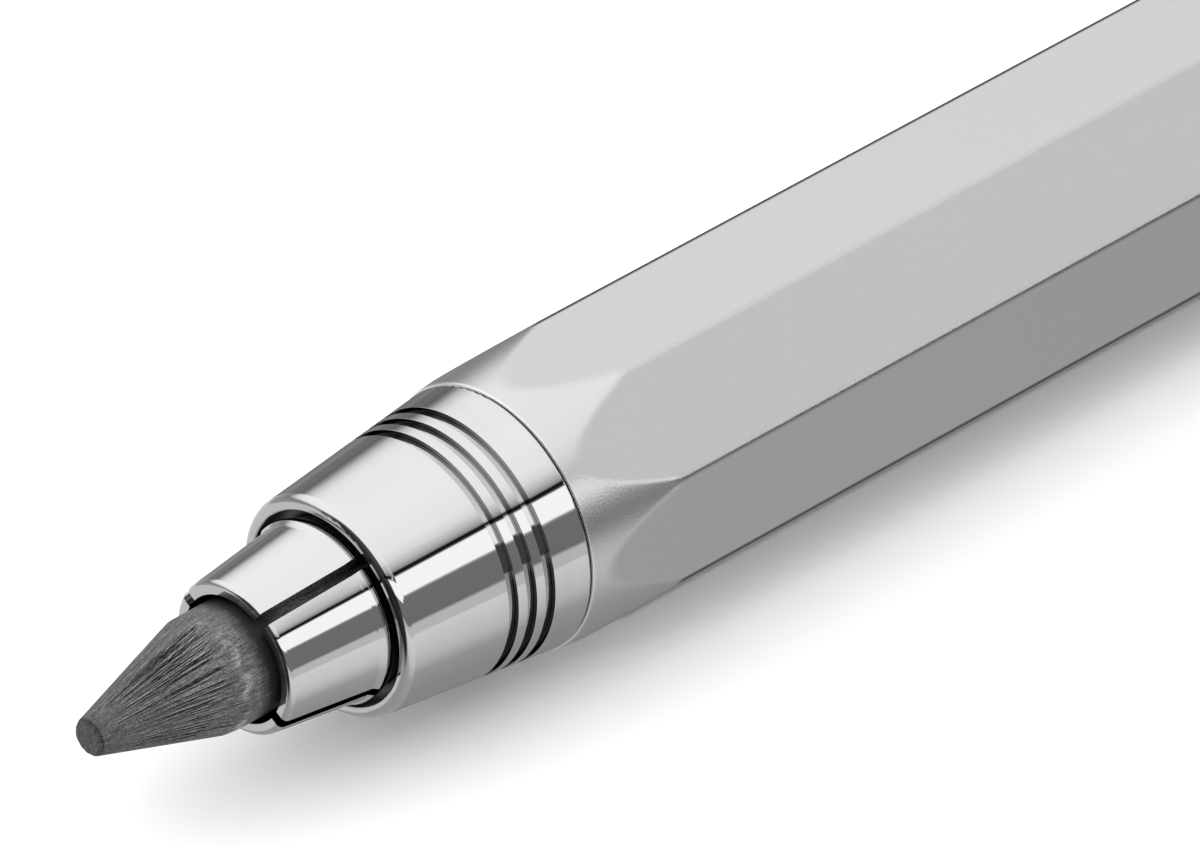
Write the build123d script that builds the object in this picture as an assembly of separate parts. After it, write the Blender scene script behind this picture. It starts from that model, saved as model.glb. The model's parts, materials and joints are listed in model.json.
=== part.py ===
from build123d import *
import os

# Lead holder with an octagonal barrel, lying on one flat, millimetres.
# Each piece is drawn along its own axis: s is the distance along the pencil, 0 where the nose cone
# meets the barrel and positive towards the push button, and r is the distance from the axis.

# Overall layout along the axis
LEAD_TIP_S = -24.25
LIP_S = -10.1
BARREL_END_S = 74.0
FERRULE_END_S = 80.0
BUTTON_END_S = 90.0
CENTRE_S = (LEAD_TIP_S + BUTTON_END_S) / 2

# Barrel
ACROSS_FLATS = 13.2
AXIS_HEIGHT = ACROSS_FLATS / 2
CORNER_ROUND = 0.45
BARREL_FACE_R = 6.48
BARREL_TAPER = 0.115
BARREL_TAPER_LENGTH = 7.0
EDGE_BREAK = 0.1
BARREL_BORE_R = 5.8
SPIGOT_R = 5.95
SPIGOT_SEAT_S = 9.0
REAR_SEAT_R = 5.95
REAR_SEAT_S = 66.0

# Nose cone
NOSE_R = 6.42
NOSE_TAPER = 0.1072
LIP_ROUND = 0.45
LIP_INNER_DEPTH = 0.25
MOUTH_R = 4.71
MOUTH_BORE_R = 4.68
SEAT_STEP_S = -9.3
SEAT_LAND_S = -8.2
SEAT_END_S = -7.7
SEAT_RUN_OUT = 0.9
NOSE_BORE_R = 4.9
SPIGOT_LENGTH = 8.0
THREAD_RELIEF_WIDTH = 0.8
THREAD_RELIEF_DEPTH = 0.3
GROOVE_COUNT = 3
GROOVE_WIDTH = 0.5
GROOVE_DEPTH = 0.2
GROOVE_EDGE = 0.02
GROOVE_PITCH = 1.015
LAST_GROOVE_S = -2.25

# Collet
JAW_COUNT = 4
JAW_FRONT_S = -15.6
JAW_FRONT_R = 3.68
JAW_TAPER = 0.119
JAW_FRONT_ROUND = 0.3
JAW_COLLAR_R = 4.42
JAW_COLLAR_S = -10.5
JAW_COLLAR_WIDTH = 0.25
JAW_COLLAR_FLARE = 0.25
JAW_COLLAR_FILLET = 0.2
JAW_COLLAR_EDGE = 0.06
JAW_NECK_R = 3.48
JAW_NECK_S = -7.0
JAW_ROOT_S = 5.95
JAW_BORE_R = 2.95
JAW_GRIP_R = 2.83
JAW_GRIP_START_S = -14.2
JAW_GRIP_END_S = -11.3
JAW_GRIP_RUN_OUT = 0.4
JAW_MOUTH_R = 3.1
SLOT_WIDTH = 0.6
SLOT_ANGLE = 32.8
FIT_GAP = 0.05
SLEEVE_R = 3.95
SLEEVE_START_S = 6.0
SLEEVE_END_S = 14.0

# Lead
LEAD_R = 2.8
LEAD_SHOULDER_S = -17.35
LEAD_POINT_R = 0.84
LEAD_POINT_ROUND = 0.35
LEAD_SHOULDER_ROUND = 1.5
LEAD_END_ROUND = 0.2
LEAD_END_S = 35.0

# Lead tube and what is on it
TUBE_R = 3.45
TUBE_BORE_R = 3.0
TUBE_START_S = 9.0
TUBE_END_S = 78.4
CLIP_GROOVE_R = 3.25
STROKE = 4.5
STROKE_SPARE = 0.1

# Spring
WASHER_THICKNESS = 0.4
BUSH_START_GAP = 0.2
BUSH_END_S = 13.0
SPRING_START_S = BUSH_END_S + WASHER_THICKNESS
SPRING_END_S = 35.0
SPRING_WIRE = 0.7
SPRING_MEAN_R = 4.6
SPRING_TURNS = 9
COLLAR_START_S = SPRING_END_S + WASHER_THICKNESS
COLLAR_WIDTH = 3.0
WASHER_R = 5.4
COLLAR_R = 5.5
CLIP_WIDTH = 0.6
CLIP_R = 4.3
CLIP_GAP = 3.0

# Rear end
REAR_BUSH_END_S = 70.0
FERRULE_BORE_R = 5.1
STOP_WIDTH = 1.0
STOP_R = 4.5
BUTTON_R = 5.0
BUTTON_WALL = 0.35
BUTTON_START_S = 74.8
BUTTON_FLOOR_S = 88.4
BUTTON_END_ROUND = 0.6
BUTTON_GROOVE_R = 0.15
BUTTON_GROOVE_PITCH = 0.7
BUTTON_GROOVE_INSET = 1.6
DISC_R = 3.9
DISC_RECESS = 0.6
DISC_THICKNESS = 0.5
DISC_ROUND = 0.2

# Lead pointer inside the button
POINTER_START_S = 78.6
POINTER_GUIDE = 1.0
POINTER_R = 4.6
POINTER_GUIDE_R = 3.05
POINTER_CONE_R = 2.9
POINTER_TIP_R = 0.6
POINT_TAPER = (LEAD_R - LEAD_POINT_R) / (LEAD_SHOULDER_S - LEAD_TIP_S)
BLADE_LENGTH = 7.4
BLADE_WIDTH = 2.8
BLADE_THICKNESS = 0.4
BLADE_BITE = 0.25
BLADE_OVERHANG = 0.2
SCREW_R = 0.5
SCREW_DEPTH = 1.2
SCREW_HEAD_HEIGHT = 0.5
SCREW_FROM_END = 1.4
SCREW_ACROSS = 1.7
DRIVER_SLOT = 0.25

# Friction bush and rubber ring between the button and the tube
BUSH_START_S = POINTER_START_S - 2.4
RING_S = (BUSH_START_S + POINTER_START_S) / 2
RING_SECTION_R = 0.38
RING_MEAN_R = TUBE_R + FIT_GAP / 2 + RING_SECTION_R


def at_home(shape):
    """Move a piece from its drawing axis to its place in the part's own frame."""
    return Pos(-CENTRE_S, 0, AXIS_HEIGHT) * shape


def turned(outline, rounds=()):
    """Turn a closed outline of (s, r) corners about the axis, after rounding some of its corners."""
    profile = make_face(Polyline(*outline, close=True))
    for corner, radius in rounds:
        vertex = profile.vertices().sort_by_distance(Vector(*corner))[0]
        profile = fillet(vertex, radius)
    return revolve(profile, Axis.X)


def ring(start, end, inner, outer, edge=0.0):
    """A plain turned ring, with its two outer edges broken where edge is given."""
    outline = [(start, inner), (start, outer), (end, outer), (end, inner)]
    rounds = [((start, outer), edge), ((end, outer), edge)] if edge else ()
    return turned(outline, rounds)


def nose_radius(s):
    return NOSE_R + NOSE_TAPER * s


def ferrule_radius(s):
    return NOSE_R - NOSE_TAPER * (s - BARREL_END_S)


def groove_corners(centre_s, radius):
    """Corners of one flat-bottomed groove, from front to rear, and the two outer ones apart."""
    start = centre_s - GROOVE_WIDTH / 2
    end = centre_s + GROOVE_WIDTH / 2
    floor_r = radius(centre_s) - GROOVE_DEPTH
    outer = [(start, radius(start)), (end, radius(end))]
    return [outer[0], (start, floor_r), (end, floor_r), outer[1]], outer


def jaw_radius(s):
    return JAW_FRONT_R + JAW_TAPER * (s - JAW_FRONT_S)


def barrel():
    """Octagonal tube, turned to a shallow cone at both ends."""
    octagon = RegularPolygon(AXIS_HEIGHT, 8, major_radius=False, rotation=22.5)
    octagon = fillet(octagon.vertices(), CORNER_ROUND)
    bar = extrude(Plane.YZ * octagon, BARREL_END_S)
    full_r = BARREL_FACE_R + BARREL_TAPER * BARREL_TAPER_LENGTH
    front_edge = (0, BARREL_FACE_R)
    rear_edge = (BARREL_END_S, BARREL_FACE_R)
    envelope = turned(
        [
            (0, 0),
            front_edge,
            (BARREL_TAPER_LENGTH, full_r),
            (BARREL_END_S - BARREL_TAPER_LENGTH, full_r),
            rear_edge,
            (BARREL_END_S, 0),
        ],
        [(front_edge, EDGE_BREAK), (rear_edge, EDGE_BREAK)],
    )
    bore = turned(
        [
            (-1, 0),
            (-1, SPIGOT_R),
            (SPIGOT_SEAT_S, SPIGOT_R),
            (SPIGOT_SEAT_S, BARREL_BORE_R),
            (REAR_SEAT_S, BARREL_BORE_R),
            (REAR_SEAT_S, REAR_SEAT_R),
            (BARREL_END_S + 1, REAR_SEAT_R),
            (BARREL_END_S + 1, 0),
        ]
    )
    return (bar & envelope) - bore


def nose_cone():
    """Tapered nose with a rounded lip, three fine grooves, the clamping seat and a spigot."""
    front_edge = (LIP_S, nose_radius(LIP_S))
    mouth_edge = (LIP_S, MOUTH_R)
    rear_edge = (0, NOSE_R)
    relief_r = SPIGOT_R - THREAD_RELIEF_DEPTH
    grooves = []
    rounds = [(front_edge, LIP_ROUND), (mouth_edge, EDGE_BREAK), (rear_edge, EDGE_BREAK)]
    for index in reversed(range(GROOVE_COUNT)):
        corners, outer = groove_corners(LAST_GROOVE_S - index * GROOVE_PITCH, nose_radius)
        grooves += corners
        rounds += [(corner, GROOVE_EDGE) for corner in outer]
    return turned(
        [
            mouth_edge,
            front_edge,
            *grooves,
            rear_edge,
            (0, relief_r),
            (THREAD_RELIEF_WIDTH, relief_r),
            (THREAD_RELIEF_WIDTH, SPIGOT_R),
            (SPIGOT_LENGTH, SPIGOT_R),
            (SPIGOT_LENGTH, NOSE_BORE_R),
            (SEAT_END_S + SEAT_RUN_OUT, NOSE_BORE_R),
            (SEAT_END_S, seat_radius(SEAT_LAND_S)),
            (SEAT_LAND_S, seat_radius(SEAT_LAND_S)),
            (SEAT_STEP_S, seat_radius(SEAT_STEP_S)),
            (SEAT_STEP_S, MOUTH_BORE_R),
            (LIP_S + LIP_INNER_DEPTH, MOUTH_BORE_R),
        ],
        rounds,
    )


def back_taper():
    """Slope of the jaws' rear cone, from the collar down to the neck."""
    return (JAW_COLLAR_R - JAW_NECK_R) / (JAW_NECK_S - JAW_COLLAR_S - JAW_COLLAR_WIDTH)


def seat_radius(s):
    """The nose's seat follows the jaws' rear cone a running gap outside it."""
    return JAW_COLLAR_R - back_taper() * (s - JAW_COLLAR_S - JAW_COLLAR_WIDTH) + FIT_GAP


def collet_ring():
    """The whole collet head and fingers before the slots are cut."""
    front_edge = (JAW_FRONT_S, JAW_FRONT_R)
    flare_s = JAW_COLLAR_S - JAW_COLLAR_FLARE
    flare = (flare_s, jaw_radius(flare_s))
    collar_front = (JAW_COLLAR_S, JAW_COLLAR_R)
    collar_back = (JAW_COLLAR_S + JAW_COLLAR_WIDTH, JAW_COLLAR_R)
    return turned(
        [
            (JAW_FRONT_S, JAW_MOUTH_R),
            front_edge,
            flare,
            collar_front,
            collar_back,
            (JAW_NECK_S, JAW_NECK_R),
            (JAW_ROOT_S, JAW_NECK_R),
            (JAW_ROOT_S, JAW_BORE_R),
            (JAW_GRIP_END_S + JAW_GRIP_RUN_OUT, JAW_BORE_R),
            (JAW_GRIP_END_S, JAW_GRIP_R),
            (JAW_GRIP_START_S, JAW_GRIP_R),
        ],
        [
            (front_edge, JAW_FRONT_ROUND),
            (flare, JAW_COLLAR_FILLET),
            (collar_front, JAW_COLLAR_EDGE),
            (collar_back, JAW_COLLAR_EDGE),
        ],
    )


def collet_jaw(index):
    """One finger: the quarter of the collet between two slots."""
    reach = 2 * JAW_COLLAR_R
    length = JAW_ROOT_S - JAW_FRONT_S + 2
    align = (Align.MIN, Align.MIN, Align.MIN)
    block = Box(length, reach, reach, align=align)
    quarter = Pos(JAW_FRONT_S - 1, SLOT_WIDTH / 2, SLOT_WIDTH / 2) * block
    turn = Rot(SLOT_ANGLE + index * 360 / JAW_COUNT, 0, 0)
    return collet_ring() & (turn * quarter)


def collet_sleeve():
    """Solid rear ring of the collet, bored to take the front of the lead tube."""
    front_edge = (SLEEVE_START_S, SLEEVE_R)
    rear_edge = (SLEEVE_END_S, SLEEVE_R)
    return turned(
        [
            (SLEEVE_START_S, JAW_BORE_R),
            front_edge,
            rear_edge,
            (SLEEVE_END_S, TUBE_R),
            (TUBE_START_S, TUBE_R),
            (TUBE_START_S, JAW_BORE_R),
        ],
        [(front_edge, EDGE_BREAK), (rear_edge, EDGE_BREAK)],
    )


def front_bush():
    """Flanged bush that guides the collet sleeve and holds the fixed end of the spring."""
    flange_start = SPIGOT_LENGTH + BUSH_START_GAP
    guide_r = SLEEVE_R + FIT_GAP
    return turned(
        [
            (flange_start, guide_r),
            (flange_start, SPIGOT_R),
            (SPIGOT_SEAT_S, SPIGOT_R),
            (SPIGOT_SEAT_S, BARREL_BORE_R),
            (BUSH_END_S, BARREL_BORE_R),
            (BUSH_END_S, guide_r),
        ]
    )


def front_spring_washer():
    return ring(BUSH_END_S, SPRING_START_S, SLEEVE_R + 2 * FIT_GAP, WASHER_R)


def clutch_spring():
    """Open coil between the two washers."""
    height = SPRING_END_S - SPRING_START_S - SPRING_WIRE
    path = Helix(pitch=height / SPRING_TURNS, height=height, radius=SPRING_MEAN_R)
    section = Plane(origin=path @ 0, z_dir=path % 0) * Circle(SPRING_WIRE / 2)
    coil = sweep(section, path=path)
    return Pos(SPRING_START_S + SPRING_WIRE / 2, 0, 0) * Rot(0, 90, 0) * coil


def push_tube():
    """Thin tube behind the collet, with a groove for the collar's snap ring."""
    tube = ring(TUBE_START_S, TUBE_END_S, TUBE_BORE_R, TUBE_R)
    clip_start = COLLAR_START_S + COLLAR_WIDTH
    return tube - ring(clip_start, clip_start + CLIP_WIDTH, CLIP_GROOVE_R, TUBE_R + 1)


def rear_spring_washer():
    return ring(SPRING_END_S, COLLAR_START_S, TUBE_R, WASHER_R)


def spring_collar():
    return ring(COLLAR_START_S, COLLAR_START_S + COLLAR_WIDTH, TUBE_R, COLLAR_R, EDGE_BREAK)


def collar_clip():
    """Open snap ring in the tube's groove."""
    start = COLLAR_START_S + COLLAR_WIDTH
    clip = ring(start, start + CLIP_WIDTH, CLIP_GROOVE_R, CLIP_R)
    gap = Pos(start, 0, -CLIP_R) * Box(4 * CLIP_WIDTH, CLIP_GAP, 2 * CLIP_R)
    return clip - gap


def rear_bush():
    return ring(REAR_SEAT_S, REAR_BUSH_END_S, TUBE_R + FIT_GAP, REAR_SEAT_R)


def rear_ferrule():
    """Polished end ring with one groove, pressed into the barrel against the rear bush."""
    joint_edge = (BARREL_END_S, NOSE_R)
    rear_edge = (FERRULE_END_S, ferrule_radius(FERRULE_END_S))
    mouth_edge = (FERRULE_END_S, FERRULE_BORE_R)
    groove, groove_edges = groove_corners(BARREL_END_S - LAST_GROOVE_S, ferrule_radius)
    rounds = [(joint_edge, EDGE_BREAK), (rear_edge, LIP_ROUND), (mouth_edge, EDGE_BREAK)]
    rounds += [(corner, GROOVE_EDGE) for corner in groove_edges]
    return turned(
        [
            (REAR_BUSH_END_S, FERRULE_BORE_R),
            (REAR_BUSH_END_S, REAR_SEAT_R),
            (BARREL_END_S, REAR_SEAT_R),
            joint_edge,
            *groove,
            rear_edge,
            mouth_edge,
        ],
        rounds,
    )


def stop_ring():
    """Ring on the tube that meets the rear bush at the end of the stroke."""
    start = REAR_BUSH_END_S + STROKE + STROKE_SPARE
    return ring(start, start + STOP_WIDTH, TUBE_R, STOP_R, EDGE_BREAK)


def lead():
    """Graphite stick, sharpened to a long blunt cone."""
    tip_edge = (LEAD_TIP_S, LEAD_POINT_R)
    shoulder = (LEAD_SHOULDER_S, LEAD_R)
    back_edge = (LEAD_END_S, LEAD_R)
    return turned(
        [(LEAD_TIP_S, 0), tip_edge, shoulder, back_edge, (LEAD_END_S, 0)],
        [
            (tip_edge, LEAD_POINT_ROUND),
            (shoulder, LEAD_SHOULDER_ROUND),
            (back_edge, LEAD_END_ROUND),
        ],
    )


def push_button():
    """Cap that slides in the ferrule: a thin skirt, a solid end and a recess for the disc."""
    inner_r = BUTTON_R - BUTTON_WALL
    skirt_edge = (BUTTON_START_S, BUTTON_R)
    end_edge = (BUTTON_END_S, BUTTON_R)
    body = turned(
        [
            (BUTTON_START_S, inner_r),
            skirt_edge,
            end_edge,
            (BUTTON_END_S, DISC_R),
            (BUTTON_END_S - DISC_RECESS, DISC_R),
            (BUTTON_END_S - DISC_RECESS, 0),
            (BUTTON_FLOOR_S, 0),
            (BUTTON_FLOOR_S, inner_r),
        ],
        [(skirt_edge, EDGE_BREAK), (end_edge, BUTTON_END_ROUND)],
    )
    for index in range(GROOVE_COUNT):
        centre_s = BUTTON_END_S - BUTTON_GROOVE_INSET - index * BUTTON_GROOVE_PITCH
        section = Pos(centre_s, BUTTON_R) * Circle(BUTTON_GROOVE_R)
        body -= revolve(section, Axis.X)
    return body


def button_disc():
    """Plain disc that fills the recess in the end of the cap."""
    start = BUTTON_END_S - DISC_RECESS
    face = start + DISC_THICKNESS
    outline = [(start, 0), (start, DISC_R), (face, DISC_R), (face, 0)]
    return turned(outline, [((face, DISC_R), DISC_ROUND)])


def button_bush():
    """Friction bush between cap and tube, with an inner groove for the rubber ring."""
    bush = ring(BUSH_START_S, POINTER_START_S, TUBE_R + FIT_GAP, BUTTON_R - BUTTON_WALL)
    groove_start = RING_S - RING_SECTION_R
    groove_end = RING_S + RING_SECTION_R
    return bush - ring(groove_start, groove_end, TUBE_R, RING_MEAN_R + RING_SECTION_R)


def button_o_ring():
    return revolve(Pos(RING_S, RING_MEAN_R) * Circle(RING_SECTION_R), Axis.X)


def blade_plane():
    """Frame on the pointer's flat: X along the cone's own slope, Y across, Z out of the flat."""
    start_s = POINTER_START_S + POINTER_GUIDE
    height = POINTER_CONE_R - BLADE_BITE
    slope = Vector(1, 0, -POINT_TAPER).normalized()
    return Plane(origin=(start_s, 0, height), x_dir=slope, z_dir=slope.cross(Vector(0, 1, 0)))


def sharpener_body():
    """Short cylinder with a conical cavity and a flat for the blade."""
    cone_start = POINTER_START_S + POINTER_GUIDE
    cone_end = cone_start + (POINTER_CONE_R - POINTER_TIP_R) / POINT_TAPER
    body = ring(POINTER_START_S, BUTTON_FLOOR_S, 0, POINTER_R)
    cavity = turned(
        [
            (POINTER_START_S, 0),
            (POINTER_START_S, POINTER_GUIDE_R),
            (cone_start, POINTER_GUIDE_R),
            (cone_start, POINTER_CONE_R),
            (cone_end, POINTER_TIP_R),
            (cone_end, 0),
        ]
    )
    return body - cavity - blade_plane() * upper_block() - screw_shape()


def upper_block():
    """Everything above the flat."""
    size = 4 * POINTER_R
    return Box(size, size, size, align=(Align.CENTER, Align.CENTER, Align.MIN))


def sharpener_blade():
    """Flat blade on the pointer's flat, its edge just past the line of the cone."""
    align = (Align.MIN, Align.MIN, Align.MIN)
    plate = Box(BLADE_LENGTH, BLADE_WIDTH, BLADE_THICKNESS, align=align)
    hole = screw_spot() * Cylinder(SCREW_R, 4 * BLADE_THICKNESS)
    return blade_plane() * (Pos(0, -BLADE_OVERHANG, 0) * plate - hole)


def screw_spot():
    """Place of the blade screw on the pointer's flat."""
    return Pos(BLADE_LENGTH - SCREW_FROM_END, SCREW_ACROSS, 0)


def screw_shape():
    """Shank and flat head of the blade screw."""
    align = (Align.CENTER, Align.CENTER, Align.MIN)
    shank = Cylinder(SCREW_R, SCREW_DEPTH + BLADE_THICKNESS, align=align)
    head = Cylinder(2 * SCREW_R, SCREW_HEAD_HEIGHT, align=align)
    screw = Pos(0, 0, -SCREW_DEPTH) * shank + Pos(0, 0, BLADE_THICKNESS) * head
    return blade_plane() * screw_spot() * screw


def blade_screw():
    slot = Pos(0, 0, BLADE_THICKNESS + SCREW_HEAD_HEIGHT) * Box(4 * SCREW_R, DRIVER_SLOT, DRIVER_SLOT)
    return screw_shape() - blade_plane() * screw_spot() * slot


def all_pieces():
    """Every piece by name."""
    pieces = {
        "barrel": barrel(),
        "nose_cone": nose_cone(),
        "front_bush": front_bush(),
        "front_spring_washer": front_spring_washer(),
        "rear_bush": rear_bush(),
        "rear_ferrule": rear_ferrule(),
        "collet_sleeve": collet_sleeve(),
        "push_tube": push_tube(),
        "spring_collar": spring_collar(),
        "rear_spring_washer": rear_spring_washer(),
        "collar_clip": collar_clip(),
        "stop_ring": stop_ring(),
        "clutch_spring": clutch_spring(),
        "lead": lead(),
        "push_button": push_button(),
        "button_disc": button_disc(),
        "button_bush": button_bush(),
        "button_o_ring": button_o_ring(),
        "sharpener_body": sharpener_body(),
        "sharpener_blade": sharpener_blade(),
        "blade_screw": blade_screw(),
    }
    for index in range(JAW_COUNT):
        pieces[f"collet_jaw_{index + 1}"] = collet_jaw(index)
    return pieces


os.makedirs("parts", exist_ok=True)
for name, shape in all_pieces().items():
    export_step(at_home(shape), f"parts/{name}.step")
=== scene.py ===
import json
import math

import bpy
import numpy as np
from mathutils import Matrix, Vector


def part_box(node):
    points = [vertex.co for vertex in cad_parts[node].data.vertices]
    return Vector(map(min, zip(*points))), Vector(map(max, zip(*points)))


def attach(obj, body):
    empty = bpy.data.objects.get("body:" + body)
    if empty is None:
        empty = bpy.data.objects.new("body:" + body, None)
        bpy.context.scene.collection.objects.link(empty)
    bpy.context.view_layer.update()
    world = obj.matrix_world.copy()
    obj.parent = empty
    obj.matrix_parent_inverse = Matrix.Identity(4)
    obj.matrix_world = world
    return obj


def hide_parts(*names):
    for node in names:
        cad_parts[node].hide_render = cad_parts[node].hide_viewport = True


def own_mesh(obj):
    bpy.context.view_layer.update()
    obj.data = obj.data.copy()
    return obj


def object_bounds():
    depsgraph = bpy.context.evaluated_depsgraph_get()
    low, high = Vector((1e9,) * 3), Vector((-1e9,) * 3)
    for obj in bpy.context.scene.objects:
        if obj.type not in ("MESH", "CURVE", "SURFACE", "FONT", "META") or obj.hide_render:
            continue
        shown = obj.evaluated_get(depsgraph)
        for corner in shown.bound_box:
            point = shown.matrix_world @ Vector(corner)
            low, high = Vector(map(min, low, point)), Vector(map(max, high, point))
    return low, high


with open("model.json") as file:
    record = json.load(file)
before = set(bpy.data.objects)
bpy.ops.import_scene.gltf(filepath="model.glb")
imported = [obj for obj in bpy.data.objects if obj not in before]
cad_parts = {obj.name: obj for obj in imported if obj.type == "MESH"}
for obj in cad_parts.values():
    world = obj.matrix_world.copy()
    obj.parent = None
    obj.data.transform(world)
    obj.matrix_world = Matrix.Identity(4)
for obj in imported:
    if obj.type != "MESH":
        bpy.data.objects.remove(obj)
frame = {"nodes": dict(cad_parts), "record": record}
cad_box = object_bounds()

MM = 0.001

# Places that everything else is worked out from
JOINT_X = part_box("barrel")[0].x
AXIS_Z = (cad_box[0].z + cad_box[1].z) / 2

# Camera: on the tip's side, looking down a little over a third of a right angle
CAMERA_AZIMUTH = -44.1
CAMERA_ELEVATION = 34.2
CAMERA_DISTANCE = 0.708
CAMERA_LENS = 480.0
CAMERA_SENSOR = 36.0
AIM_RIGHT = 4.83 * MM
AIM_UP = 3.85 * MM

# Places along the pencil are measured from the joint and are negative towards the tip. Radii are
# measured from the axis.

# Nose cone: its mouth, the land between its grooves and the groove walls that face the tip
MOUTH_R = 4.69 * MM
MOUTH_S = -9.98 * MM
NOSE_R = 6.42 * MM
NOSE_TAPER = 0.1072
GROOVE_WALLS_S = (-2.0 * MM, -3.015 * MM, -4.03 * MM)
WALL_REACH = 0.035 * MM
WALL_TOP = 0.012 * MM

# Seam between nose cone and barrel
SEAM_R = 6.36 * MM
SEAM_GAP = 0.04 * MM

# Polished plate: painted shade on the groove walls and in the bores.
# How dark the groove walls are round the nose, from below over the front and top.
CHROME_COLOUR = (0.48, 0.482, 0.485, 1.0)
WALL_SHADE_COLOUR = (0.03, 0.03, 0.03, 1.0)
WALL_SHADES = [(0.0, 1.0), (0.535, 1.0), (0.56, 0.45), (0.69, 0.45), (0.76, 1.0)]
BORE_SHADE_COLOUR = (0.10, 0.10, 0.10, 1.0)
BORE_ROUGHNESS = 0.35

# Satin plate: painted shade on most long edges and a painted highlight on each end rim
# The two long edges that face up and forward get little or no painted shade.
SATIN_COLOUR = (0.50, 0.502, 0.505, 1.0)
EDGE_SHADE_COLOUR = (0.11, 0.11, 0.11, 1.0)
EDGE_START = 7.065 * MM
EDGE_END = 7.10 * MM
HIGH_EDGE = 4.0 * MM
FRONT_EDGE_LIGHT = 0.8
# Painted highlight on a thin rim at each end of the barrel
HIGHLIGHT_RIM_WIDTH = 0.085 * MM
HIGHLIGHT_RIM_COLOUR = (0.75, 0.75, 0.75, 1.0)

# Barrel: an octagonal bar turned to a shallow cone at both ends, as in the CAD model
HALF_FLATS = (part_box("barrel")[1].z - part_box("barrel")[0].z) / 2
BARREL_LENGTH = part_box("barrel")[1].x - JOINT_X
CORNER_ROUND = 0.45 * MM
FACE_R = 6.48 * MM
FACE_TAPER = 0.115
TAPER_LENGTH = 7.3 * MM
EDGE_BREAK = 0.1 * MM
EDGE_ROWS = 7
FACET_BLEND = 0.045 * MM
BORE_R = 5.8 * MM
SEAT_R = 5.95 * MM
FRONT_SEAT = 9.0 * MM
REAR_SEAT = 8.0 * MM
FLAT_STEPS = 36
CORNER_STEPS = 12
ROW_STEP = 0.08 * MM

# Lead: a cone cut with a knife, then a plain stick
LEAD_TIP_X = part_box("lead")[0].x
LEAD_END_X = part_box("lead")[1].x
LEAD_R = (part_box("lead")[1].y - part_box("lead")[0].y) / 2
POINT_LENGTH = 6.9 * MM
POINT_R = 0.84 * MM
POINT_ROUND = 0.18 * MM
LEAD_AROUND = 900
LEAD_ROW = 0.05 * MM
TIP_ROWS = 13
PAST_POINT = 1.2 * MM
STICK_ROWS = (2.0 * MM, 3.0 * MM, 5.0 * MM)
END_ROUND = 0.2 * MM
LEAD_SEED = 56
FLAT_COUNT = 11
CUT_COUNT = 260
STRONG_CUTS = 64
STRONG_SIDE = math.radians(150.0)
CUT_DEPTH = 0.085 * MM
CHATTER = 0.012 * MM
CHATTER_ROWS = 5
SHOULDER_WANDER = 0.035 * MM
SHOULDER_BLEND = 0.05 * MM
WORN_REACH = 0.06 * MM
BURR_HIGHLIGHT = 0.4
STICK_LIGHT = 0.03

# Graphite: streaks along the lead, and a ragged band of painted shade by the mouth of the jaws
STREAKS_ALONG = 1.1 / MM
STREAKS_ROUND = 38.0
GRAPHITE_SHADES = [(0.06, 0.002), (0.36, 0.022), (0.5, 0.098), (0.62, 0.25), (0.9, 0.45)]
JAW_SHADE_COLOUR = (0.010, 0.010, 0.010, 1.0)
JAW_SHADE_START = -16.2 * MM
JAW_SHADE_END = -15.5 * MM
JAW_SHADE_RAGGED = 0.8 * MM
JAW_SHADE_FADE_START = -14.6 * MM
JAW_SHADE_FADE_END = -13.2 * MM

# Spring
SPRING_WIRE_R = 0.35 * MM
SPRING_TURNS = 9
SPRING_DEAD_TURNS = 1.0
TURN_POINTS = 48
WIRE_POINTS = 14

# Floor sheets: x and y of two corners. The far sheet lies just under the near one.
FLOOR_NEAR = (-0.4, -0.055, 0.4, 0.4)
FLOOR_FAR = (-3.0, -3.0, 3.0, 3.0)
FLOOR_DROP = 0.02 * MM


# ---------------------------------------------------------------- node helpers

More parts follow.
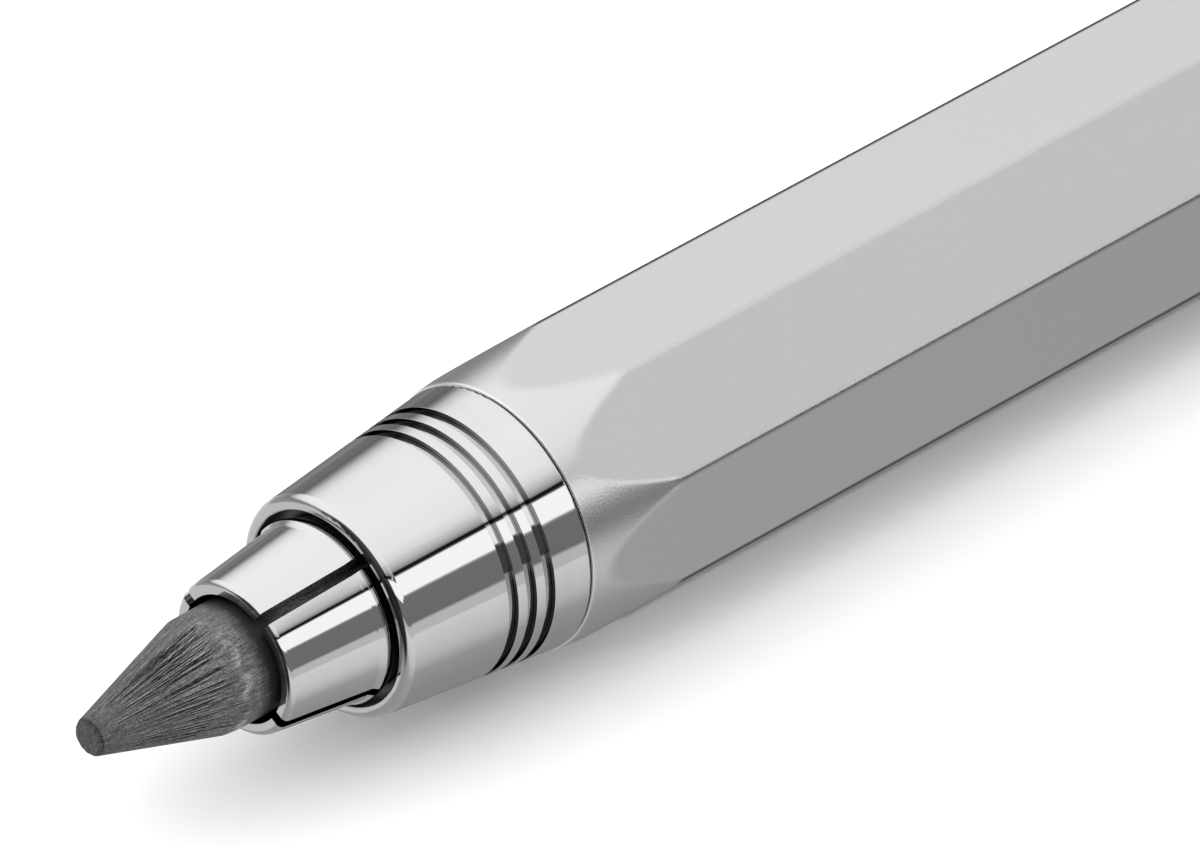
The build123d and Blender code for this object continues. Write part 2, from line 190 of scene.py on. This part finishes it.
class Nodes:
    """Short way to add and join shader nodes."""

    def __init__(self, tree):
        self.tree = tree

    def add(self, kind, values=None, **settings):
        node = self.tree.nodes.new(kind)
        for key, value in settings.items():
            setattr(node, key, value)
        for key, value in (values or {}).items():
            self.feed(node.inputs[key], value)
        return node

    def feed(self, socket, value):
        """Join an output to the socket, or set its number or colour."""
        if isinstance(value, bpy.types.NodeSocket):
            self.tree.links.new(value, socket)
        else:
            socket.default_value = value

    def math(self, operation, *values):
        node = self.add("ShaderNodeMath", operation=operation)
        for socket, value in zip(node.inputs, values):
            self.feed(socket, value)
        return node.outputs[0]

    def noise(self, vector, scale, detail=2.0, roughness=0.5):
        values = {"Vector": vector, "Scale": scale, "Detail": detail, "Roughness": roughness}
        return self.add("ShaderNodeTexNoise", values).outputs["Fac"]

    def ramp(self, factor, stops):
        node = self.add("ShaderNodeValToRGB", {"Fac": factor})
        elements = node.color_ramp.elements
        while len(elements) < len(stops):
            elements.new(1.0)
        for element, (position, value) in zip(elements, stops):
            element.position = position
            element.color = value if isinstance(value, tuple) else (value, value, value, 1.0)
        return node.outputs["Color"]

    def spread(self, value, low, high):
        """Map 0 to 1 onto low to high."""
        node = self.add("ShaderNodeMapRange", {"Value": value, "To Min": low, "To Max": high})
        return node.outputs[0]

    def rise(self, value, low, high):
        """0 up to low, 1 from high on and even between."""
        node = self.add("ShaderNodeMapRange", {"Value": value, "From Min": low, "From Max": high})
        return node.outputs[0]

    def turn(self, height, front):
        """Angle round the pencil's axis: 0 to 1 for -180 to 180 degrees from the front horizon."""
        angle = self.math("ARCTAN2", height, front)
        return self.math("MULTIPLY_ADD", angle, 0.5 / math.pi, 0.5)

    def blend(self, factor, first, second):
        """Mix two colours."""
        node = self.tree.nodes.new("ShaderNodeMix")
        node.data_type = "RGBA"
        sockets = {socket.identifier: socket for socket in node.inputs}
        self.feed(sockets["Factor_Float"], factor)
        self.feed(sockets["A_Color"], first)
        self.feed(sockets["B_Color"], second)
        return next(socket for socket in node.outputs if socket.identifier == "Result_Color")

    def stretched(self, scale):
        """Object-space position, in millimetres, scaled per axis."""
        place = self.add("ShaderNodeTexCoord").outputs["Object"]
        per_axis = tuple(value / MM for value in scale)
        return self.add("ShaderNodeMapping", {"Vector": place, "Scale": per_axis}).outputs[0]


def new_material(name, **constants):
    """A Principled material, its node helper and its shader."""
    material = bpy.data.materials.new(name)
    material.use_nodes = True
    nodes = Nodes(material.node_tree)
    shader = material.node_tree.nodes["Principled BSDF"]
    for key, value in constants.items():
        shader.inputs[key.replace("_", " ")].default_value = value
    return material, nodes, shader


def add_bump(nodes, shader, height, distance):
    values = {"Height": height, "Distance": distance, "Strength": 1.0}
    nodes.feed(shader.inputs["Normal"], nodes.add("ShaderNodeBump", values).outputs[0])


def darker(colour, share):
    return tuple(share * value for value in colour[:3]) + (1.0,)


# ------------------------------------------------------------------- materials

def axis_place(nodes):
    """Place along the pencil from the joint, forward of and above its axis, and distance from it."""
    place = nodes.add("ShaderNodeTexCoord").outputs["Object"]
    parts = nodes.add("ShaderNodeSeparateXYZ", {"Vector": place}).outputs
    along = nodes.math("SUBTRACT", parts["X"], JOINT_X)
    front = nodes.math("MULTIPLY", parts["Y"], -1.0)
    height = nodes.math("SUBTRACT", parts["Z"], AXIS_Z)
    squares = nodes.math("MULTIPLY_ADD", height, height, nodes.math("MULTIPLY", front, front))
    return along, front, height, nodes.math("SQRT", squares)


def bore_shade_mask(nodes, along, distance):
    """Painted shade: 1 in the nose behind its mouth and on what the barrel covers, else 0."""
    inner = nodes.math("LESS_THAN", distance, MOUTH_R)
    behind = nodes.math("GREATER_THAN", along, MOUTH_S)
    sunk = nodes.math("LESS_THAN", distance, SEAM_R)
    covered = nodes.math("COMPARE", along, BARREL_LENGTH / 2, BARREL_LENGTH / 2 + SEAM_GAP / 4)
    in_nose = nodes.math("MULTIPLY", inner, behind)
    in_barrel = nodes.math("MULTIPLY", sunk, covered)
    return nodes.math("MAXIMUM", in_nose, in_barrel)


def groove_shade_mask(nodes, along, front, height, distance):
    """Painted shade: up to 1 on the groove walls that face the tip, else 0."""
    land = nodes.math("MULTIPLY_ADD", along, NOSE_TAPER, NOSE_R)
    depth = nodes.math("SUBTRACT", land, distance)
    sunk_in = nodes.math("GREATER_THAN", depth, WALL_TOP)
    walls = [nodes.math("COMPARE", along, wall_s, WALL_REACH) for wall_s in GROOVE_WALLS_S]
    wall = nodes.math("MAXIMUM", nodes.math("MAXIMUM", walls[0], walls[1]), walls[2])
    dark = nodes.ramp(nodes.turn(height, front), WALL_SHADES)
    return nodes.math("MULTIPLY", nodes.math("MULTIPLY", wall, sunk_in), dark)


def polished_chrome():
    """Bright plate with painted shade on the groove walls and the bores behind the nose's mouth."""
    material, nodes, shader = new_material("polished_chrome", Metallic=1.0)
    smears = nodes.noise(nodes.stretched((0.25, 0.5, 0.5)), 1.0, 4.0)
    along, front, height, distance = axis_place(nodes)
    bore = bore_shade_mask(nodes, along, distance)
    groove_shade = groove_shade_mask(nodes, along, front, height, distance)
    plate = nodes.blend(groove_shade, CHROME_COLOUR, WALL_SHADE_COLOUR)
    # Painted shade in the bores, and painted shade on the groove walls.
    nodes.feed(shader.inputs["Base Color"], nodes.blend(bore, plate, BORE_SHADE_COLOUR))
    plain = nodes.spread(smears, 0.01, 0.05)
    nodes.feed(shader.inputs["Roughness"], nodes.math("MULTIPLY_ADD", bore, BORE_ROUGHNESS, plain))
    return material


def edge_shade_mask(nodes, front, height, distance):
    """Painted shade: 1 on the barrel's long edges, and 0 and 0.2 on the two that face up and
    forward.
    """
    edge = nodes.rise(distance, EDGE_START, EDGE_END)
    lit = nodes.math("GREATER_THAN", nodes.math("MINIMUM", front, height), 0.0)
    high = nodes.math("GREATER_THAN", height, HIGH_EDGE)
    light = nodes.math("MULTIPLY_ADD", high, 1.0 - FRONT_EDGE_LIGHT, FRONT_EDGE_LIGHT)
    kept = nodes.math("MULTIPLY", lit, light)
    return nodes.math("MULTIPLY", edge, nodes.math("SUBTRACT", 1.0, kept))


def satin_chrome():
    """Fine blasted plate, with painted shade on most long edges and a painted highlight on its end
    rims.
    """
    material, nodes, shader = new_material("satin_chrome", Metallic=1.0)
    grain = nodes.noise(nodes.stretched((12.0, 12.0, 12.0)), 1.0, 1.0, 0.5)
    clouds = nodes.noise(nodes.stretched((0.15, 0.3, 0.3)), 1.0, 2.0)
    nodes.feed(shader.inputs["Roughness"], nodes.spread(clouds, 0.28, 0.31))
    along, front, height, distance = axis_place(nodes)
    # Painted shade on the long edges
    edge = edge_shade_mask(nodes, front, height, distance)
    # Painted highlight on the thin rim at each end of the barrel
    body = nodes.math("COMPARE", along, BARREL_LENGTH / 2, BARREL_LENGTH / 2 - HIGHLIGHT_RIM_WIDTH)
    plate = nodes.blend(edge, SATIN_COLOUR, EDGE_SHADE_COLOUR)
    nodes.feed(shader.inputs["Base Color"], nodes.blend(body, HIGHLIGHT_RIM_COLOUR, plate))
    add_bump(nodes, shader, grain, 0.006 * MM)
    return material


def streak_place(nodes, along, front, height, distance):
    """Texture place that is drawn out along the lead and narrows with it towards the point."""
    around_front = nodes.math("DIVIDE", front, distance)
    around_top = nodes.math("DIVIDE", height, distance)
    place = {
        "X": nodes.math("MULTIPLY", along, STREAKS_ALONG),
        "Y": nodes.math("MULTIPLY", around_front, STREAKS_ROUND),
        "Z": nodes.math("MULTIPLY", around_top, STREAKS_ROUND),
    }
    return nodes.add("ShaderNodeCombineXYZ", place).outputs[0]


def jaw_shade_mask(nodes, clouds, along):
    """Painted shade: 1 in the ragged band round the lead by the mouth of the jaws, else 0."""
    ragged = nodes.math("MULTIPLY_ADD", clouds, JAW_SHADE_RAGGED, along)
    jaw_shade = nodes.rise(ragged, JAW_SHADE_START, JAW_SHADE_END)
    return nodes.math("SUBTRACT", jaw_shade, nodes.rise(ragged, JAW_SHADE_FADE_START, JAW_SHADE_FADE_END))


def graphite():
    """Dark grey with a dull shine, fine streaks, painted shade and highlights, and lighter spots of
    wear.
    """
    material, nodes, shader = new_material("graphite", Metallic=0.3)
    along, front, height, distance = axis_place(nodes)
    streaks = nodes.noise(streak_place(nodes, along, front, height, distance), 1.0, 4.0, 0.65)
    grain = nodes.noise(nodes.stretched((11.0, 11.0, 11.0)), 1.0, 4.0, 0.7)
    clouds = nodes.noise(nodes.stretched((1.6, 1.6, 1.6)), 1.0, 4.0, 0.65)
    mixed = nodes.math("MULTIPLY_ADD", grain, 0.5, nodes.math("MULTIPLY", streaks, 0.5))
    # Painted shade: the 'cut' attribute darkens the knife cuts and the rounded edge of the tip.
    cuts = nodes.add("ShaderNodeAttribute", attribute_name="cut").outputs["Fac"]
    # The second attribute holds patches of wear and the painted highlights beside the cuts.
    wear_and_highlight = nodes.add("ShaderNodeAttribute", attribute_name="wear_and_highlight").outputs["Fac"]
    shade = nodes.math("MULTIPLY_ADD", nodes.math("SUBTRACT", wear_and_highlight, cuts), 0.5, mixed)
    colour = nodes.ramp(shade, GRAPHITE_SHADES)
    # Painted shade: a ragged dark band round the lead by the mouth of the jaws
    jaw_shade = jaw_shade_mask(nodes, clouds, along)
    nodes.feed(shader.inputs["Base Color"], nodes.blend(jaw_shade, colour, JAW_SHADE_COLOUR))
    nodes.feed(shader.inputs["Roughness"], nodes.spread(mixed, 0.55, 0.40))
    add_bump(nodes, shader, mixed, 0.08 * MM)
    return material


def plain_metal(name, colour, roughness):
    """Turned or drawn metal that is only seen inside: fine rings of tool marks."""
    material, nodes, shader = new_material(name, Metallic=1.0)
    rings = nodes.noise(nodes.stretched((9.0, 0.3, 0.3)), 1.0, 3.0)
    nodes.feed(shader.inputs["Roughness"], nodes.spread(rings, roughness - 0.06, roughness + 0.08))
    tint = nodes.ramp(rings, [(0.3, darker(colour, 0.85)), (0.7, colour)])
    nodes.feed(shader.inputs["Base Color"], tint)
    add_bump(nodes, shader, rings, 0.003 * MM)
    return material


def plain_soft(name, colour, roughness):
    """Plastic or rubber: a faint moulded grain."""
    material, nodes, shader = new_material(name)
    grain = nodes.noise(nodes.stretched((6.0, 6.0, 6.0)), 1.0, 3.0)
    nodes.feed(shader.inputs["Roughness"], nodes.spread(grain, roughness - 0.08, roughness + 0.08))
    tint = nodes.ramp(grain, [(0.3, darker(colour, 0.8)), (0.7, colour)])
    nodes.feed(shader.inputs["Base Color"], tint)
    add_bump(nodes, shader, grain, 0.006 * MM)
    return material


def make_materials():
    """One material for each of the record's slots."""
    return {
        "satin_chrome": satin_chrome(),
        "polished_chrome": polished_chrome(),
        "graphite": graphite(),
        "brass": plain_metal("brass", (0.72, 0.52, 0.24, 1.0), 0.28),
        "spring_steel": plain_metal("spring_steel", (0.50, 0.50, 0.52, 1.0), 0.30),
        "cast_alloy": plain_metal("cast_alloy", (0.58, 0.58, 0.60, 1.0), 0.42),
        "black_plastic": plain_soft("black_plastic", (0.03, 0.03, 0.03, 1.0), 0.5),
        "black_rubber": plain_soft("black_rubber", (0.02, 0.02, 0.02, 1.0), 0.75),
    }


def dress_cad(materials):
    """Give every CAD node the material of its slot."""
    for part in frame["record"]["subparts"]:
        mesh = frame["nodes"][part["node"]].data
        mesh.materials.clear()
        mesh.materials.append(materials[part["material_slot"]])


# -------------------------------------------------------------------- geometry

def ring_mesh(name, rings, closed):
    """A tube through rings of points, closed on itself or capped at its two ends."""
    count, around, _ = rings.shape
    points = rings.reshape(-1, 3)
    index = np.arange(count * around).reshape(count, around)
    ahead = np.roll(index, -1, axis=0) if closed else index[1:]
    here = index if closed else index[:-1]
    quads = np.stack([here, np.roll(here, -1, 1), np.roll(ahead, -1, 1), ahead], axis=-1)
    faces = quads.reshape(-1, 4).tolist()
    if not closed:
        faces += [index[0][::-1].tolist(), index[-1].tolist()]
    mesh = bpy.data.meshes.new(name)
    mesh.from_pydata(points.tolist(), [], faces)
    mesh.validate()
    mesh.shade_smooth()
    mesh.set_sharp_from_angle(angle=math.radians(35.0))
    piece = bpy.data.objects.new(name, mesh)
    bpy.context.scene.collection.objects.link(piece)
    return piece


def turned_rings(along, radius, angles):
    """Rings about the pencil's axis: radius is one row of values for each place along it."""
    radius = np.broadcast_to(radius, (len(along), len(angles)))
    x = np.broadcast_to(np.asarray(along)[:, None], radius.shape)
    return np.stack([x, radius * np.cos(angles), AXIS_Z + radius * np.sin(angles)], axis=-1)


def octagon_outline():
    """Angles round the octagon and its radius at each, flats and rounded corners in turn."""
    half_flat = (HALF_FLATS - CORNER_ROUND) * math.tan(math.pi / 8)
    corner = (HALF_FLATS - CORNER_ROUND) / math.cos(math.pi / 8)
    flat = np.linspace(-half_flat, half_flat, FLAT_STEPS + 1)
    turn = np.linspace(0, math.pi / 4, CORNER_STEPS + 1)[1:-1]
    bend_x = corner * math.cos(math.pi / 8) + CORNER_ROUND * np.cos(turn)
    bend_y = corner * math.sin(math.pi / 8) + CORNER_ROUND * np.sin(turn)
    side_x = np.concatenate([np.full_like(flat, HALF_FLATS), bend_x])
    side_y = np.concatenate([flat, bend_y])
    angle = np.arctan2(side_y, side_x)
    radius = np.hypot(side_x, side_y)
    angles = np.concatenate([angle + side * math.pi / 4 for side in range(8)])
    return angles, np.tile(radius, 8)


def smooth_least(first, second, width):
    """The lesser of two values, eased over a short width where they meet."""
    near = np.clip(1.0 - np.abs(first - second) / width, 0.0, 1.0)
    return np.minimum(first, second) - near * near * width / 4


def barrel_outside(bar):
    """Places along the outside and the radius round each, for the bar's own radius round it."""
    edge = np.linspace(0, math.pi / 2, EDGE_ROWS)
    edge_s = SEAM_GAP + EDGE_BREAK * (1 - np.cos(edge))
    edge_drop = EDGE_BREAK * (1 - np.sin(edge))
    taper_s = np.arange(SEAM_GAP + EDGE_BREAK + ROW_STEP, TAPER_LENGTH, ROW_STEP)
    front_s = np.concatenate([edge_s, taper_s])
    drop = np.concatenate([edge_drop, np.zeros_like(taper_s)])
    cone = FACE_R + FACE_TAPER * front_s
    front = smooth_least(bar[None, :], cone[:, None], FACET_BLEND) - drop[:, None]
    outer_s = np.concatenate([front_s, BARREL_LENGTH - front_s[::-1]])
    return outer_s, np.concatenate([front, front[::-1]])


def barrel_inside(around):
    """Places along the bore, from the rear, and the radius round each."""
    inner = [
        (BARREL_LENGTH - SEAM_GAP, SEAT_R),
        (BARREL_LENGTH - REAR_SEAT, SEAT_R),
        (BARREL_LENGTH - REAR_SEAT, BORE_R),
        (FRONT_SEAT, BORE_R),
        (FRONT_SEAT, SEAT_R),
        (SEAM_GAP, SEAT_R),
    ]
    inner_s, inner_r = (np.array(column) for column in zip(*inner))
    return inner_s, np.broadcast_to(inner_r[:, None], (len(inner), around))


def make_barrel(materials):
    """Satin barrel whose facets run softly out into the turned cones."""
    angles, bar = octagon_outline()
    outer_s, outer = barrel_outside(bar)
    inner_s, inner = barrel_inside(len(angles))
    along = JOINT_X + np.concatenate([outer_s, inner_s])
    rings = turned_rings(along, np.concatenate([outer, inner]), angles)
    piece = ring_mesh("barrel_shell", rings[:, ::-1], closed=True)
    piece.data.materials.append(materials["satin_chrome"])
    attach(piece, "barrel")
    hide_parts("barrel")


def wander(rng, values, waves, size):
    """A smooth random curve over values from 0 to 1."""
    total = np.zeros_like(values)
    for wave in range(1, waves + 1):
        total += rng.normal() / wave * np.sin(math.pi * wave * values + rng.uniform(0, 2 * math.pi))
    return size * total


def knife_cuts(rng, share, angles):
    """Long cuts left by sharpening and a painted highlight strip beside each, each 0 to 1.

    Share is 0 at the tip and 1 at the shoulder.
    """
    depth = np.zeros((len(share), len(angles)))
    burr_highlight = np.zeros_like(depth)
    for cut in range(CUT_COUNT):
        strong = cut < STRONG_CUTS
        if strong:
            centre = STRONG_SIDE + math.radians(rng.uniform(-70, 75))
        else:
            centre = rng.uniform(0, 2 * math.pi)
        width = math.radians(rng.uniform(0.5, 1.0) if strong else rng.uniform(0.4, 0.8))
        start = rng.uniform(0.05, 0.55)
        end = rng.uniform(0.75, 1.02) if strong else start + rng.uniform(0.08, 0.5)
        size = rng.uniform(0.55, 1.0) if strong else rng.uniform(0.2, 0.6)
        middle = centre + wander(rng, share, 5, 0.012)
        gap = (angles[None, :] - middle[:, None] + math.pi) % (2 * math.pi) - math.pi
        ends = np.clip((share - start) / 0.10, 0, 1) * np.clip((end - share) / 0.04, 0, 1)
        rough = 0.68 + 0.32 * np.sin(share * rng.uniform(30, 130) + rng.uniform(0, 6))
        along = size * (ends * rough)[:, None]
        depth = np.maximum(depth, along * np.clip(1.8 - 1.8 * np.abs(gap) / width, 0, 1))
        # Painted highlight strip beside each cut
        burr_highlight = np.maximum(burr_highlight, along * np.clip(1.4 - np.abs(gap + 1.7 * width) / width, 0, 1))
    return depth, burr_highlight * (1 - depth)


def knife_flats(rng, angles):
    """How far each flat of the point lies inside the full cone, as a share of its radius."""
    middles = np.arange(FLAT_COUNT) * 2 * math.pi / FLAT_COUNT + rng.uniform(-0.16, 0.16, FLAT_COUNT)
    insets = rng.uniform(0.0, 0.022, FLAT_COUNT)
    gap = (angles[:, None] - middles[None, :] + math.pi) % (2 * math.pi) - math.pi
    facing = np.abs(gap) < 1.0
    planes = np.where(facing, (1 - insets) / np.cos(np.where(facing, gap, 0.0)), 9.0)
    return np.minimum(planes.min(axis=1), 1.015)


def lead_places():
    """Places along the lead from its tip: rounded end, point and plain stick."""
    bend = np.linspace(0, math.pi / 2, TIP_ROWS)
    tip_s = POINT_ROUND * (1 - np.cos(bend))
    cone_s = np.arange(POINT_ROUND + LEAD_ROW, POINT_LENGTH + PAST_POINT, LEAD_ROW)
    stick_s = np.array(STICK_ROWS) + POINT_LENGTH
    end_s = LEAD_END_X - LEAD_TIP_X
    return np.concatenate([tip_s, cone_s, stick_s, [end_s - END_ROUND, end_s]])


def sharpened_cone(rng, along, angles):
    """Radius of the cut cone, carried on past the shoulder, with its cuts and the painted highlights
    beside them.
    """
    share = along / POINT_LENGTH
    slope = (LEAD_R - POINT_R) / POINT_LENGTH
    cone = (POINT_R + slope * along)[:, None] * knife_flats(rng, angles)[None, :]
    cone = cone + wander(rng, angles / math.pi, 30, SHOULDER_WANDER)[None, :] * share[:, None]
    cuts, burr_highlights = knife_cuts(rng, share, angles)
    cone = cone - CUT_DEPTH * cuts * np.clip(share * 1.6, 0.4, 1)[:, None]
    chatter = rng.normal(0, 1, (len(along), LEAD_AROUND))
    chatter = sum(np.roll(chatter, step, 0) for step in range(CHATTER_ROWS)) / CHATTER_ROWS
    return cone - CHATTER * np.abs(chatter), cuts, burr_highlights


def wear_and_cut_highlights(rng, cone, burr_highlights, angles):
    """Lighter graphite: patches of wear along the shoulder, painted highlights beside the cuts, and
    the stick a little.
    """
    patches = np.clip(wander(rng, angles / math.pi, 40, 0.9) - 0.1, 0, 1)
    wear_and_highlight = np.exp(-(((cone - LEAD_R) / WORN_REACH) ** 2)) * patches[None, :]
    wear_and_highlight *= np.clip(0.5 + 0.6 * rng.normal(0, 1, wear_and_highlight.shape), 0, 1.2)
    return wear_and_highlight + np.where(cone < LEAD_R, BURR_HIGHLIGHT * burr_highlights, STICK_LIGHT)


def make_lead(materials):
    """Sharpened stick: slight flats, long cuts that run to the point and an uneven shoulder."""
    rng = np.random.default_rng(LEAD_SEED)
    angles = np.arange(LEAD_AROUND) * 2 * math.pi / LEAD_AROUND
    along = lead_places()
    cone, cuts, burr_highlights = sharpened_cone(rng, along, angles)
    wear_and_highlight = wear_and_cut_highlights(rng, cone, burr_highlights, angles)
    # Painted shade: the cuts and the rounded edge of the tip are darkened through the 'cut'
    # attribute.
    tip_edge_shade = np.interp(along / POINT_ROUND, [0.0, 0.3, 0.7, 1.2], [0.1, 0.12, 0.3, 0.0])
    cut_shade = cuts * (cone < LEAD_R) + tip_edge_shade[:, None]

    radius = smooth_least(cone, np.full_like(cone, LEAD_R), SHOULDER_BLEND)
    bend = np.linspace(0, math.pi / 2, TIP_ROWS)
    radius[:TIP_ROWS] -= (POINT_ROUND * (1 - np.sin(bend)))[:, None]
    radius[-1] -= END_ROUND
    radius = np.minimum(radius, LEAD_R)

    rings = turned_rings(LEAD_TIP_X + along, radius, angles)
    piece = ring_mesh("lead_stick", rings[:, ::-1], closed=False)
    for name, values in (("cut", cut_shade), ("wear_and_highlight", wear_and_highlight)):
        layer = piece.data.attributes.new(name, "FLOAT", "POINT")
        layer.data.foreach_set("value", values[:, ::-1].astype(np.float32).ravel())
    piece.data.materials.append(materials["graphite"])
    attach(piece, "lead")
    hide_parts("lead")


def spring_rings(low, high):
    """Rings round the wire, from its front end to its rear end."""
    mean_r = (high.y - low.y) / 2 - SPRING_WIRE_R
    turns = np.linspace(0, SPRING_TURNS, SPRING_TURNS * TURN_POINTS + 1)
    close = 2 * SPRING_WIRE_R
    length = high.x - low.x - close
    open_turns = SPRING_TURNS - 2 * SPRING_DEAD_TURNS
    open_pitch = (length - 2 * SPRING_DEAD_TURNS * close) / open_turns
    knots = [0, SPRING_DEAD_TURNS, SPRING_TURNS - SPRING_DEAD_TURNS, SPRING_TURNS]
    places = [0, SPRING_DEAD_TURNS * close, length - SPRING_DEAD_TURNS * close, length]
    rise = np.interp(turns, knots, places)
    turn = 2 * math.pi * turns
    slope = math.atan(open_pitch / (2 * math.pi * mean_r))
    out = np.stack([np.zeros_like(turn), np.cos(turn), np.sin(turn)], axis=-1)
    lean = np.full_like(turn, math.cos(slope))
    side = np.stack([lean, np.sin(turn) * math.sin(slope), -np.cos(turn) * math.sin(slope)], axis=-1)
    centre = mean_r * out
    centre[:, 0] += low.x + SPRING_WIRE_R + rise
    centre[:, 2] += AXIS_Z
    around = np.linspace(0, 2 * math.pi, WIRE_POINTS, endpoint=False)[None, :, None]
    section = np.cos(around) * out[:, None, :] + np.sin(around) * side[:, None, :]
    return centre[:, None, :] + SPRING_WIRE_R * section


def make_spring(materials):
    """Round wire wound with a closed turn at each end."""
    low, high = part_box("clutch_spring")
    rings = spring_rings(low, high)
    piece = ring_mesh("spring_coil", rings, closed=False)
    piece.data.materials.append(materials["spring_steel"])
    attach(piece, "barrel")
    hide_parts("clutch_spring")
    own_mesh(piece)


# --------------------------------------------------------------- studio and camera

# Studio light by direction: the angle round the pencil's axis, from the front horizon (0) over
# the top (90) to the rear horizon (180), and how bright the studio is there. The first list is for
# light from straight across and from the tip's side, the second for light from the button's side.
STUDIO_NEAR = [
    (-180.0, 0.52),
    (-172.0, 0.54),
    (-169.0, 0.97),
    (-131.0, 0.97),
    (-126.0, 0.55),
    (-90.0, 0.55),
    (-60.0, 0.64),
    (-46.0, 0.98),
    (-35.0, 1.12),
    (-18.2, 1.22),
    (-17.8, 0.94),
    (-7.2, 0.92),
    (-6.8, 0.29),
    (19.6, 0.30),
    (20.0, 1.86),
    (38.2, 1.86),
    (38.6, 0.095),
    (40.0, 0.075),
    (40.3, 0.012),
    (42.6, 0.012),
    (43.0, 0.46),
    (47.0, 0.88),
    (54.0, 1.38),
    (62.0, 1.60),
    (85.0, 1.68),
    (136.0, 1.76),
    (152.0, 1.66),
    (160.0, 1.40),
    (170.0, 0.36),
    (180.0, 0.52),
]
STUDIO_FAR = [
    (-180.0, 0.13),
    (-172.0, 0.15),
    (-137.0, 0.20),
    (-110.0, 0.30),
    (-80.0, 0.36),
    (-60.0, 0.44),
    (-47.0, 0.60),
    (-18.2, 0.50),
    (-7.0, 0.45),
    (-6.8, 0.09),
    (21.0, 0.09),
    (21.4, 1.60),
    (39.0, 1.60),
    (39.6, 0.03),
    (42.4, 0.03),
    (43.0, 0.78),
    (45.0, 1.12),
    (52.0, 1.14),
    (110.0, 1.10),
    (125.0, 1.28),
    (146.0, 1.28),
    (156.0, 0.60),
    (164.0, 0.13),
    (180.0, 0.13),
]
NEAR_END = 0.40
FAR_START = 0.55
STUDIO_PEAK = 1.9
BACKDROP = 1.0

# Beyond the tip the studio is dark, apart from a fill light that only rough surfaces get
TIP_END_DARK = -0.84
TIP_END_LIGHT = -0.74
TIP_END_LEAST = 0.06
FRONT_FILL = 0.9


def make_studio():
    """Soft light from all round, striped along the pencil, and a plain white backdrop."""
    world = bpy.data.worlds.new("studio")
    bpy.context.scene.world = world
    world.use_nodes = True
    nodes = Nodes(world.node_tree)
    world.node_tree.nodes.clear()
    direction = nodes.add("ShaderNodeTexCoord").outputs["Generated"]
    parts = nodes.add("ShaderNodeSeparateXYZ", {"Vector": direction}).outputs
    front = nodes.math("MULTIPLY", parts["Y"], -1.0)
    turn = nodes.turn(parts["Z"], front)
    near, far = (
        nodes.ramp(turn, [(angle / 360.0 + 0.5, value / STUDIO_PEAK) for angle, value in stops])
        for stops in (STUDIO_NEAR, STUDIO_FAR)
    )
    stripes = nodes.blend(nodes.rise(parts["X"], NEAR_END, FAR_START), near, far)
    tip_end = nodes.rise(parts["X"], TIP_END_DARK, TIP_END_LIGHT)
    tip_end = nodes.spread(tip_end, TIP_END_LEAST, 1.0)
    path = nodes.add("ShaderNodeLightPath").outputs
    fill = nodes.math("MULTIPLY", path["Is Diffuse Ray"], FRONT_FILL)
    strength = nodes.math("MULTIPLY", nodes.math("MAXIMUM", tip_end, fill), STUDIO_PEAK)
    light = nodes.add("ShaderNodeBackground", {"Color": stripes, "Strength": strength})
    plain = nodes.add("ShaderNodeBackground", {"Color": (1.0, 1.0, 1.0, 1.0), "Strength": BACKDROP})
    shares = {0: path["Is Camera Ray"], 1: light.outputs[0], 2: plain.outputs[0]}
    mix = nodes.add("ShaderNodeMixShader", shares)
    out = nodes.add("ShaderNodeOutputWorld")
    nodes.feed(out.inputs["Surface"], mix.outputs[0])


def make_floor():
    """Plain pale floor under the pencil."""
    material, nodes, shader = new_material("floor_paper", Roughness=0.9)
    fibres = nodes.noise(nodes.stretched((0.05, 0.05, 0.05)), 1.0, 3.0)
    nodes.feed(shader.inputs["Base Color"], nodes.ramp(fibres, [(0.3, 0.95), (0.7, 0.97)]))
    shader.inputs["Specular IOR Level"].default_value = 0.2
    sheets = (("floor_near", FLOOR_NEAR, 0.0), ("floor_far", FLOOR_FAR, FLOOR_DROP))
    for name, (x0, y0, x1, y1), drop in sheets:
        z = cad_box[0].z - drop
        mesh = bpy.data.meshes.new(name)
        mesh.from_pydata([(x0, y0, z), (x1, y0, z), (x1, y1, z), (x0, y1, z)], [], [(0, 1, 2, 3)])
        mesh.materials.append(material)
        floor = bpy.data.objects.new(name, mesh)
        bpy.context.scene.collection.objects.link(floor)
        floor.visible_glossy = False


def make_camera():
    azimuth = math.radians(CAMERA_AZIMUTH)
    elevation = math.radians(CAMERA_ELEVATION)
    flat = math.cos(elevation)
    back = Vector((math.sin(azimuth) * flat, -math.cos(azimuth) * flat, math.sin(elevation)))
    right = Vector((0, 0, 1)).cross(back).normalized()
    up = back.cross(right)
    aim = Vector((JOINT_X, 0, AXIS_Z)) + right * AIM_RIGHT + up * AIM_UP
    data = bpy.data.cameras.new("camera")
    data.lens = CAMERA_LENS
    data.sensor_width = CAMERA_SENSOR
    camera = bpy.data.objects.new("camera", data)
    camera.location = aim + back * CAMERA_DISTANCE
    camera.rotation_mode = "QUATERNION"
    camera.rotation_quaternion = (-back).to_track_quat("-Z", "Y")
    bpy.context.scene.collection.objects.link(camera)
    bpy.context.scene.camera = camera
    bpy.context.scene.view_settings.view_transform = "Standard"


materials = make_materials()
dress_cad(materials)
make_barrel(materials)
make_lead(materials)
make_spring(materials)
make_studio()
make_floor()
make_camera()
